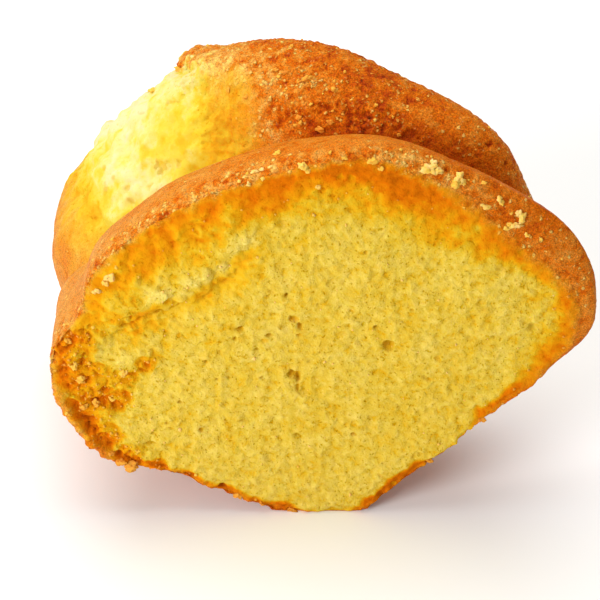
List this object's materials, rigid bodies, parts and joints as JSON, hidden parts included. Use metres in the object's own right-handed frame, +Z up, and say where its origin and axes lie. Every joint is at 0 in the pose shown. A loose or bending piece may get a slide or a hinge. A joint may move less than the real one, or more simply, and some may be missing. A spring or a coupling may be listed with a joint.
{
  "type": "cake slice",
  "caption": "Golden rum cake slice cut from a fluted ring, with a pale crumb face, a browned crust and part of the crust torn off the rear flute.",
  "frame": {"origin": "bottom centre of the slice's box, on the surface it stands on", "axes": "-Y out of the wide cut face, +X towards the middle of the ring, +Z up as the slice stands"},
  "size_m": [0.0896, 0.0592, 0.0721],
  "materials": {
    "crumb": "matte, open-pored golden crumb with a browned crust"
  },
  "bodies": {
    "root": {"cake_slice": "crumb"}
  },
  "joints": []
}
